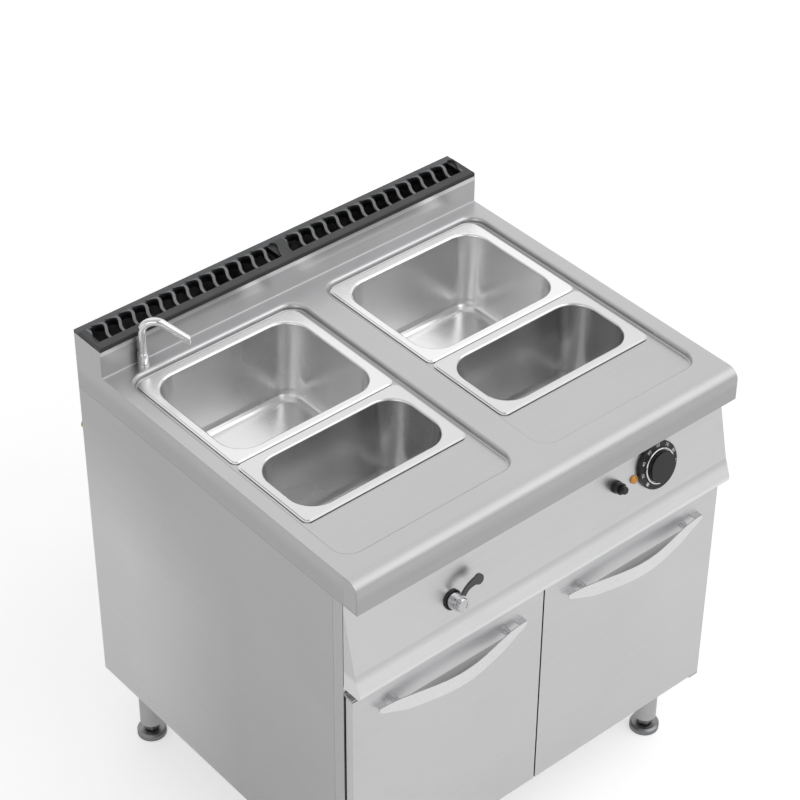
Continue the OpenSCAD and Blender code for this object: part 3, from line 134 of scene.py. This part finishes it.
class Tree(Net):
    """A material's node tree around one principled surface."""

    def __init__(self, name):
        self.mat = bpy.data.materials.new(name)
        self.mat.use_nodes = True
        super().__init__(self.mat.node_tree)
        self.out = self.node("OutputMaterial")
        self.bsdf = self.node("BsdfPrincipled")
        self.link(self.bsdf.outputs[0], self.out.inputs[0])
        coords = self.node("TexCoord")
        self.co, self.direction = coords.outputs["Object"], coords.outputs["Normal"]

    def set(self, **values):
        for key, value in values.items():
            self.bsdf.inputs[key.replace("_", " ")].default_value = value

    def surface(self, colour, rough, bump):
        for key, value in (("Base Color", colour), ("Roughness", rough), ("Normal", bump)):
            self.link(value, self.bsdf.inputs[key])

    def linked(self, key):
        """The output that feeds a socket of the surface so far."""
        return self.bsdf.inputs[key].links[0].from_socket

    def noise(self, scale=1.0, stretch=(1, 1, 1), detail=3.0, rough=0.5):
        place = self.node("Mapping")
        place.inputs["Scale"].default_value = stretch
        self.link(self.co, place.inputs["Vector"])
        made = self.node("TexNoise")
        for key, number in (("Scale", scale), ("Detail", detail), ("Roughness", rough)):
            made.inputs[key].default_value = number
        self.link(place.outputs[0], made.inputs["Vector"])
        return made.outputs["Fac"]

    def ramp(self, fac, dark, light, lo=0.3, hi=0.7):
        made = self.node("ValToRGB")
        for element, pos, colour in zip(made.color_ramp.elements, (lo, hi), (dark, light)):
            element.position = pos
            element.color = colour + (1,)
        self.link(fac, made.inputs[0])
        return made.outputs[0]

    def mix(self, fac, a, b):
        made = self.node("Mix", data_type="RGBA")
        self.link(fac, made.inputs["Factor"])
        for value, socket in ((a, made.inputs[6]), (b, made.inputs[7])):
            if isinstance(value, tuple):
                socket.default_value = value + (1,)
            else:
                self.link(value, socket)
        return made.outputs[2]

    def bump(self, height, strength, distance):
        made = self.node("Bump")
        made.inputs["Strength"].default_value = strength
        made.inputs["Distance"].default_value = distance
        self.link(height, made.inputs["Height"])
        return made.outputs[0]

    def place(self, axis):
        """Object coordinate along one axis, in metres in the shared frame."""
        return self.part(self.co, axis)

    def facing(self, axis):
        """One component of the surface's own direction."""
        return self.part(self.direction, axis)

    def away(self, value, middle=0.0):
        """Distance of a value from a middle, on either side."""
        return self.math("ABSOLUTE", self.math("SUBTRACT", value, middle))

    def scale_base(self, factor):
        """Multiply the base colour by a number that changes over the surface."""
        made = self.node("VectorMath", operation="SCALE")
        self.link(self.linked("Base Color"), made.inputs[0])
        self.link(factor, made.inputs["Scale"])
        self.link(made.outputs[0], self.bsdf.inputs["Base Color"])

    def tone_where(self, mask, factor):
        """Multiply the base colour by a factor where the mask is 1."""
        self.scale_base(self.span(mask, 1.0, factor, 0, 1))

    def add_rough(self, amount):
        self.link(self.math("ADD", self.linked("Roughness"), amount), self.bsdf.inputs["Roughness"])


def grey(level, tint=(1.0, 1.0, 1.0)):
    return tuple(level * t for t in tint)


def brushed(name, level, rough, grain, spread=0.05, bump=0.05, cloud=0.04):
    """Ground stainless sheet: fine lines along the grain over a soft cloudy change."""
    t = Tree(name)
    tint = (1.0, 1.0, 1.01)
    lines = t.noise(1.0, [6 if axis == grain else 900 for axis in "xyz"], 4, 0.65)
    bands = t.noise(1.0, [1.5 if axis == grain else 160 for axis in "xyz"], 3, 0.6)
    clouds = t.noise(5.0, detail=4, rough=0.55)
    fine = t.ramp(lines, grey(level * (1 - spread), tint), grey(level * (1 + spread), tint))
    soft = t.ramp(clouds, grey(level * (1 - cloud), tint), grey(level * (1 + cloud), tint))
    t.surface(t.mix(t.span(bands, 0.3, 0.7), fine, soft), t.span(bands, rough - 0.03, rough + 0.04),
              t.bump(lines, bump, 0.0002))
    t.set(Metallic=1.0)
    return t


def polished(name, level, rough, bump=0.02):
    """Chrome or bright steel: nearly a mirror, with a faint wave and small marks."""
    t = Tree(name)
    tint = (1.0, 1.0, 1.01)
    wave = t.noise(60, detail=2)
    marks = t.noise(900, detail=4, rough=0.7)
    t.surface(t.ramp(wave, grey(level * 0.97, tint), grey(level * 1.02, tint)),
              t.span(marks, rough * 0.8, rough * 1.3), t.bump(wave, bump, 0.0005))
    t.set(Metallic=1.0)
    return t


def drawn_steel(name, level, rough):
    """Deep-drawn steel: smooth, with a soft cloud and a fine even grain."""
    t = Tree(name)
    clouds = t.noise(6.0, detail=2, rough=0.4)
    grain = t.noise(90, detail=2)
    fine = t.ramp(grain, grey(level * 0.98), grey(level * 1.02), 0.1, 0.9)
    soft = t.ramp(clouds, grey(level * 0.94), grey(level * 1.05), 0.1, 0.9)
    t.surface(t.mix(t.span(clouds, 0.2, 0.8, 0.1, 0.9), fine, soft),
              t.span(clouds, rough - 0.02, rough + 0.03, 0.1, 0.9), t.bump(grain, 0.01, 0.0001))
    t.set(Metallic=1.0)
    return t


def rough_coat(name, dark, light, rough, scale=500, bump=0.3, metal=0.0):
    """Cast, moulded or coated surface with a fine texture."""
    t = Tree(name)
    pits = t.noise(scale, detail=4, rough=0.65)
    clouds = t.noise(18, detail=3)
    t.surface(t.ramp(clouds, dark, light), t.span(pits, rough - 0.06, rough + 0.06),
              t.bump(pits, bump, 0.0004))
    t.set(Metallic=metal)
    return t


def lens(name):
    """Amber plastic lens: ribbed inside, deeper in colour towards its rim."""
    t = Tree(name)
    ribs = t.noise(380, detail=2)
    body = t.noise(120, detail=2)
    edge = t.node("LayerWeight")
    edge.inputs["Blend"].default_value = 0.35
    inner = t.ramp(body, (0.62, 0.24, 0.012), (0.76, 0.32, 0.02))
    t.surface(t.mix(t.step(edge.outputs["Facing"], 0.3, 0.8), inner, (0.36, 0.11, 0.006)),
              t.span(ribs, 0.16, 0.28), t.bump(ribs, 0.25, 0.0004))
    t.set(Coat_Weight=0.5, Coat_Roughness=0.08)
    return t


# Places that the looks follow, in metres in the shared frame
WORKTOP_TOP = 0.850
UPSTAND_EDGE = WORKTOP_TOP + 0.044
NOSE_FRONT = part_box("worktop")[0][1]
NOSE_FACE_TOP = WORKTOP_TOP - 0.014
NOSE_FACE_SHADED = WORKTOP_TOP - 0.034
LIP_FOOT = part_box("control_panel")[0][2]
LIP_TOP = LIP_FOOT + 0.043
GRILLE_RAIL = 0.015
GRILLE_END = 0.014
HUB_RADIUS = 0.0135
RIM_SHADE_BAND = 0.0011
RIM_HEIGHT = 0.003


def worktop_steel():
    """Worktop sheet: painted shade on the upstand, greyer to the left, a painted highlight on
    its top edge, painted shade on the nose face, and a softer sheen on the nose."""
    t = brushed("worktop_steel", 0.56, 0.32, "x")
    upright = t.step(t.place("Z"), WORKTOP_TOP + 0.001, WORKTOP_TOP + 0.003)
    # Painted shade on the upstand, greyer to the left, with random streaks in it.
    tone = t.span(t.place("X"), -0.33, -0.16, -0.4, 0.36)
    streaks = t.span(t.noise(1.0, (9, 9, 1.5), 2, 0.5), -0.05, 0.05)
    t.scale_base(t.math("ADD", t.both(upright, t.math("ADD", tone, streaks)), 1.0))
    # Painted shade on the nose face.
    t.tone_where(t.step(t.place("Z"), NOSE_FACE_TOP, NOSE_FACE_SHADED), 0.88)
    # Painted highlight along the upstand's top edge.
    t.tone_where(t.step(t.place("Z"), UPSTAND_EDGE - 0.0005, UPSTAND_EDGE + 0.0005), 1.5)
    t.add_rough(t.span(t.place("Y"), 0.16, 0.0, NOSE_FRONT + 0.018, NOSE_FRONT + 0.036))
    return t


def panel_steel():
    """Control panel sheet: a painted highlight on its rounded lip, and painted shade at the lip's foot.
    """
    # Painted light: the panel's base is lighter than the worktop's.
    t = brushed("panel_steel", 0.70, 0.36, "x")
    # Painted highlight on the lip.
    t.tone_where(t.step(t.place("Z"), LIP_TOP + 0.004, LIP_TOP - 0.006), 1.24)
    # Painted shade at the lip's foot.
    t.tone_where(t.step(t.place("Z"), LIP_FOOT + 0.0022, LIP_FOOT + 0.0012), 0.30)
    return t


def handle_steel():
    """Visor handle: lighter than the doors as painted light, with painted shade on the top face, which
    is also ground rougher.
    """
    # Painted light: the handle's base is lighter than the door's.
    t = brushed("handle_steel", 0.84, 0.28, "x", spread=0.02, bump=0.004)
    top = t.step(t.facing("Z"), 0.5, 0.9)
    # Painted shade on the top face.
    t.tone_where(top, 0.56)
    t.add_rough(t.math("MULTIPLY", top, 0.12))
    return t


def door_steel():
    """Door sheet: the edges that meet in the middle stand in the shade of their gap."""
    # Painted light: the door's base is lighter than the worktop's.
    t = brushed("door_steel", 0.69, 0.34, "x")
    sideways = t.step(t.away(t.facing("X")), 0.6, 0.9)
    central = t.step(t.away(t.place("X")), 0.012, 0.008)
    t.tone_where(t.both(sideways, central), 0.12)
    return t


def side_steel():
    """Side sheet: painted light, a little brighter low down towards the back."""
    t = brushed("side_steel", 0.54, 0.36, "y")
    low = t.step(t.place("Z"), 0.74, 0.50)
    rearward = t.step(t.place("Y"), -0.05, 0.24)
    # Painted light low down towards the back.
    t.tone_where(t.both(low, rearward), 1.36)
    return t


def pan_steel(name, level):
    """Drawn pan: a painted highlight on the rim, and painted shade on its outward edge from the gap
    around it.
    """
    t = drawn_steel(name + "_steel", level, 0.26)
    lo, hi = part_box(name)
    edges = []
    for i, axis in enumerate("XY"):
        middle, half = (lo[i] + hi[i]) / 2, (hi[i] - lo[i]) / 2
        outside = t.away(t.place(axis), middle)
        edges.append(t.step(outside, half - RIM_SHADE_BAND, half - RIM_SHADE_BAND + 0.0005))
    upright = t.step(t.facing("Z"), 0.9, 0.55)
    # Painted shade on the rim's outward edge.
    t.tone_where(t.both(t.math("MAXIMUM", *edges), upright), 0.03)
    # Painted highlight on the rim.
    t.tone_where(t.step(t.place("Z"), hi[2] - RIM_HEIGHT - 0.002, hi[2] - RIM_HEIGHT), 1.18)
    return t


def cast_grille():
    """Cast grille: painted highlights on the vane tops and the rear rail, painted shade on the front
    faces and inside the slots.
    """
    t = rough_coat("cast_iron", (0.040, 0.041, 0.043), (0.062, 0.063, 0.066), 0.5, 420, 0.35)
    lo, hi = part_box("grille_left")
    depth, height = t.place("Y"), t.place("Z")
    middle_out = t.away(t.place("X"))
    between = t.both(t.step(depth, lo[1] + GRILLE_RAIL - 0.0002, lo[1] + GRILLE_RAIL + 0.001),
                     t.step(depth, hi[1] - GRILLE_RAIL + 0.0005, hi[1] - GRILLE_RAIL - 0.0005))
    vanes = t.both(t.step(height, hi[2] - 0.0009, hi[2] - 0.0003),
                   t.step(middle_out, GRILLE_END, GRILLE_END + 0.002),
                   t.step(middle_out, -lo[0] - GRILLE_END + 0.002, -lo[0] - GRILLE_END))
    rear_rail = t.both(t.step(depth, hi[1] - GRILLE_RAIL, hi[1] - GRILLE_RAIL + 0.001),
                       t.step(t.facing("Z"), 0.4, 0.8))
    inside = t.step(height, hi[2] - 0.002, hi[2] - 0.006)
    # Painted highlight on the vane tops.
    t.tone_where(t.both(between, vanes), 3.8)
    # Painted highlight on the rear rail's top.
    t.tone_where(rear_rail, 1.8)
    # Painted shade on the faces that look to the front.
    t.tone_where(t.step(t.facing("Y"), -0.6, -0.9), 0.45)
    # Painted shade inside the slots.
    t.tone_where(t.both(between, inside), 0.06)
    return t


def lever_coat():
    """Fill lever: grey blade on a bright hub."""
    t = rough_coat("lever_coat", (0.050, 0.051, 0.053), (0.072, 0.073, 0.076), 0.42, 700, 0.08)
    joint = JOINTS["fill_lever_turn"]
    from_axis = t.node("VectorMath", operation="SUBTRACT")
    from_axis.inputs[1].default_value = Vector(joint["pos_m"])
    t.link(t.co, from_axis.inputs[0])
    across = t.node("VectorMath", operation="CROSS_PRODUCT")
    across.inputs[1].default_value = Vector(joint["axis"]).normalized()
    t.link(from_axis.outputs[0], across.inputs[0])
    hub = t.step(t.length(across.outputs[0]), HUB_RADIUS + 0.0005, HUB_RADIUS)
    t.link(t.mix(hub, t.linked("Base Color"), (0.62, 0.62, 0.63)), t.bsdf.inputs["Base Color"])
    t.add_rough(t.math("MULTIPLY", hub, -0.33))
    t.link(hub, t.bsdf.inputs["Metallic"])
    return t


WORKTOP = worktop_steel()
STEEL_X = brushed("steel_grain_x", 0.56, 0.34, "x")
PANEL = panel_steel()
DOOR = door_steel()
SIDE = side_steel()
STEEL_Y = brushed("steel_grain_y", 0.54, 0.36, "y")
STEEL_Z = brushed("steel_grain_z", 0.54, 0.36, "z")
HANDLE = handle_steel()
BRIGHT = polished("bright_steel", 0.72, 0.16)
CHROME = polished("chrome", 0.80, 0.07)
# Painted shade: the valve boss and the lever cap have a darker copy of the chrome.
SHADED_CHROME = polished("boss_chrome", 0.60, 0.06, bump=0.05)
CAST = cast_grille()
HEATER = rough_coat("heater_steel", (0.07, 0.068, 0.066), (0.14, 0.135, 0.13), 0.5, 300, 0.2, metal=0.8)
BRASS = rough_coat("brass", (0.42, 0.29, 0.10), (0.56, 0.40, 0.16), 0.34, 350, 0.12, metal=1.0)
COPPER = rough_coat("copper", (0.48, 0.20, 0.10), (0.62, 0.30, 0.17), 0.30, 350, 0.1, metal=1.0)
FOOT = rough_coat("foot_steel", (0.26, 0.262, 0.266), (0.36, 0.362, 0.366), 0.36, 350, 0.12, metal=1.0)
RUBBER = rough_coat("rubber", (0.010, 0.010, 0.010), (0.02, 0.02, 0.02), 0.55, 600, 0.2)
BLACK = rough_coat("black_plastic", (0.007, 0.007, 0.008), (0.013, 0.013, 0.014), 0.34, 700, 0.12)
GREY = rough_coat("grey_plastic", (0.10, 0.105, 0.11), (0.15, 0.155, 0.16), 0.45, 600, 0.15)
LEVER = lever_coat()
RED_GRIP = rough_coat("red_grip", (0.30, 0.018, 0.012), (0.40, 0.03, 0.02), 0.40, 500, 0.2)
AMBER = lens("amber_lens")
WHITE_MARK = rough_coat("white_marks", (0.60, 0.60, 0.59), (0.70, 0.70, 0.69), 0.5, 900, 0.08)

MATERIALS = {
    WORKTOP: ["worktop"],
    STEEL_X: ["flue_box", "front_frame", "cabinet_roof", "cabinet_floor"],
    PANEL: ["control_panel"],
    DOOR: ["door_left", "door_right", "door_liner_left", "door_liner_right"],
    STEEL_Y: ["nose_caps"],
    SIDE: ["side_panel_left", "side_panel_right"],
    STEEL_Z: ["back_panel", "legs", "well_left", "well_right", "hinge_left", "hinge_right"],
    HANDLE: ["handle_left", "handle_right"],
    BRIGHT: ["false_bottom_left", "false_bottom_right", "overflow_left", "overflow_right",
             "rear_screws", "drain_manifold"],
    SHADED_CHROME: ["valve_boss", "lever_cap"],
    CHROME: ["spout", "spout_base", "dial_ring"],
    CAST: ["grille_left", "grille_right"],
    HEATER: ["heater_left", "heater_right"],
    BRASS: ["drain_valve", "inlet_fitting", "valve_body"],
    COPPER: ["feed_pipe", "spout_pipe"],
    FOOT: ["feet"],
    RUBBER: ["valve_ring"],
    BLACK: ["dial_knob", "reset_collar", "reset_button", "cable_gland", "catches"],
    GREY: ["thermostat", "reset_switch", "terminal_box"],
    LEVER: ["fill_lever"],
    RED_GRIP: ["drain_lever"],
    AMBER: ["pilot_lamp"],
}
# Painted light: the pans are one steel, with the rear pans lighter than the front ones.
PAN_PAINTED_LEVELS = {"pan_front_left": 0.64, "pan_front_right": 0.64,
              "pan_rear_left": 0.74, "pan_rear_right": 0.79}
MATERIALS.update({pan_steel(name, level): [name] for name, level in PAN_PAINTED_LEVELS.items()})
for material, names in MATERIALS.items():
    for name in names:
        node = NODES[name]
        if not node.material_slots:
            node.data.materials.append(material.mat)
        for slot in node.material_slots:
            slot.material = material.mat

# Dial marks: a block and plain numbers on the top of the skirt
OUT = -Vector(JOINTS["dial_turn"]["axis"]).normalized()
ACROSS = Vector((1, 0, 0))
ALONG = OUT.cross(ACROSS)
MARK_RING = 0.0363
MARK_THICK = 0.0001
MARK_HEIGHT = 0.0058
BLOCK_WIDTH = 0.0062
BLOCK_ANGLE = 218
FIRST_NUMBER_ANGLE = 185
NUMBER_STEP = 33
# The joint's point lies on the dial's axis, a little above the skirt's top
JOINT_ABOVE_SKIRT = 0.0005
MARK_CENTRE = Vector(JOINTS["dial_turn"]["pos_m"]) - OUT * (JOINT_ABOVE_SKIRT - MARK_THICK / 2)
FONT_SIZE_PER_HEIGHT = 1.38
BOLDER_PER_HEIGHT = 0.012
BLOCK_ROUNDING = 0.18


def digits_mesh(text, height):
    """Plain digits as a thin mesh, centred on its own origin."""
    curve = bpy.data.curves.new("digits", "FONT")
    curve.body = text
    curve.align_x, curve.align_y = "CENTER", "CENTER"
    curve.size = height * FONT_SIZE_PER_HEIGHT
    curve.extrude = MARK_THICK / 2
    curve.offset = height * BOLDER_PER_HEIGHT
    curve.resolution_u = 6
    temp = bpy.data.objects.new("digits", curve)
    scene.collection.objects.link(temp)
    bpy.context.view_layer.update()
    mesh = bpy.data.meshes.new_from_object(temp.evaluated_get(bpy.context.evaluated_depsgraph_get()))
    bpy.data.objects.remove(temp)
    bpy.data.curves.remove(curve)
    return mesh


def block_mesh(width, height):
    """Small block with rounded corners as a thin mesh."""
    r, steps = width * BLOCK_ROUNDING, 5
    rim = []
    for cx, cy, start in ((1, 1, 0), (-1, 1, 90), (-1, -1, 180), (1, -1, 270)):
        for i in range(steps + 1):
            a = math.radians(start + 90 * i / steps)
            rim.append((cx * (width / 2 - r) + r * math.cos(a),
                        cy * (height / 2 - r) + r * math.sin(a)))
    n = len(rim)
    verts = [(x, y, -MARK_THICK / 2) for x, y in rim] + [(x, y, MARK_THICK / 2) for x, y in rim]
    faces = [tuple(range(n - 1, -1, -1)), tuple(range(n, 2 * n))]
    faces += [(i, (i + 1) % n, n + (i + 1) % n, n + i) for i in range(n)]
    mesh = bpy.data.meshes.new("block")
    mesh.from_pydata(verts, [], faces)
    return mesh


def add_mark(name, mesh, degrees):
    """Put a mark on the dial's ring with its top outwards."""
    a = math.radians(degrees)
    outward = ACROSS * math.cos(a) + ALONG * math.sin(a)
    side = outward.cross(OUT)
    obj = bpy.data.objects.new(name, mesh)
    scene.collection.objects.link(obj)
    turn = Matrix((side, outward, OUT)).transposed().to_4x4()
    obj.matrix_world = Matrix.Translation(MARK_CENTRE + outward * MARK_RING) @ turn
    mesh.materials.clear()
    mesh.materials.append(WHITE_MARK.mat)
    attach(obj, "dial")


add_mark("dial_block", block_mesh(BLOCK_WIDTH, MARK_HEIGHT), BLOCK_ANGLE)
for i, number in enumerate(range(30, 100, 10)):
    add_mark("dial_number_%d" % number, digits_mesh(str(number), MARK_HEIGHT),
             FIRST_NUMBER_ANGLE - NUMBER_STEP * i)

# Floor: white to the eye, and it keeps the object's shadow
FLOOR_HALF = 14.0
GLOW_NEAR, GLOW_FAR = 0.46, 0.95
NEAR, FAR = 1.5, 5.0
GLOW_IN_MIRRORS = 0.16
corners = [(x * FLOOR_HALF, y * FLOOR_HALF, 0) for x, y in ((-1, -1), (1, -1), (1, 1), (-1, 1))]
floor_mesh = bpy.data.meshes.new("floor")
floor_mesh.from_pydata(corners, [], [(0, 1, 2, 3)])
floor = bpy.data.objects.new("floor", floor_mesh)
scene.collection.objects.link(floor)
paint = Tree("floor_paint")
paint.link(paint.ramp(paint.noise(3), grey(0.80), grey(0.83)), paint.bsdf.inputs["Base Color"])
paint.link(paint.span(paint.noise(200), 0.6, 0.75), paint.bsdf.inputs["Roughness"])
paint.set(Specular_IOR_Level=0.0)
rays = paint.node("LightPath")
glow = paint.node("Emission")
add = paint.node("AddShader")
# Seen straight on, the floor glows more with distance, where the lamps reach it less
far = paint.span(paint.length(paint.co), GLOW_NEAR, GLOW_FAR, NEAR, FAR)
seen = paint.both(rays.outputs["Is Camera Ray"], far)
strength = paint.math("MULTIPLY_ADD", rays.outputs["Is Glossy Ray"], GLOW_IN_MIRRORS, seen)
paint.link(strength, glow.inputs["Strength"])
paint.link(paint.bsdf.outputs[0], add.inputs[0])
paint.link(glow.outputs[0], add.inputs[1])
paint.link(add.outputs[0], paint.out.inputs[0])
floor_mesh.materials.append(paint.mat)

# World: white to the eye, plain grey as light, and in reflections white
# behind and above, greyer in front and darker to the left
world = bpy.data.worlds.new("studio")
scene.world = world
world.use_nodes = True
sky = Net(world.node_tree)
LIGHT_LEVEL = 0.55
FRONT_TONE = 0.55
FLAG_TONE = 0.60


def background(strength):
    made = sky.node("Background")
    made.inputs["Color"].default_value = (1, 1, 1, 1)
    sky.feed(made.inputs["Strength"], strength)
    return made.outputs[0]


def blend(fac, a, b):
    made = sky.node("MixShader")
    for socket, value in zip(made.inputs, (fac, a, b)):
        sky.link(value, socket)
    return made.outputs[0]


sky_rays = sky.node("LightPath")
direction = sky.node("TexCoord").outputs["Generated"]
sideways = sky.part(direction, "X")
front = sky.span(sky.part(direction, "Y"), FRONT_TONE, 1.0, -0.35, 0.2, "SMOOTHSTEP")
flag = sky.both(sky.span(sideways, 0, 1, -0.36, -0.46, "SMOOTHSTEP"),
                sky.span(sideways, 0, 1, -0.90, -0.80, "SMOOTHSTEP"))
mirrored = background(sky.both(front, sky.span(flag, 1.0, FLAG_TONE, 0, 1)))
as_light = blend(sky_rays.outputs["Is Glossy Ray"], background(LIGHT_LEVEL), mirrored)
straight = sky.math("MAXIMUM", sky_rays.outputs["Is Camera Ray"],
                    sky_rays.outputs["Is Transmission Ray"])
sky_out = sky.node("OutputWorld")
sky.link(blend(straight, as_light, background(1.0)), sky_out.inputs[0])

# Lamps
LAMP_AIM = Vector((0, 0, 0.6))


def area(name, place, size, power):
    """Soft rectangular lamp that faces the middle of the object."""
    data = bpy.data.lights.new(name, "AREA")
    data.shape = "RECTANGLE"
    data.size, data.size_y = size
    data.energy = power
    obj = bpy.data.objects.new(name, data)
    scene.collection.objects.link(obj)
    obj.location = place
    obj.rotation_mode = "QUATERNION"
    obj.rotation_quaternion = (LAMP_AIM - Vector(place)).to_track_quat("-Z", "Y")


area("key", place=(1.8, -2.4, 3.4), size=(4.6, 3.6), power=61)
area("fill", place=(-3.0, -1.6, 2.2), size=(2.4, 2.4), power=16)
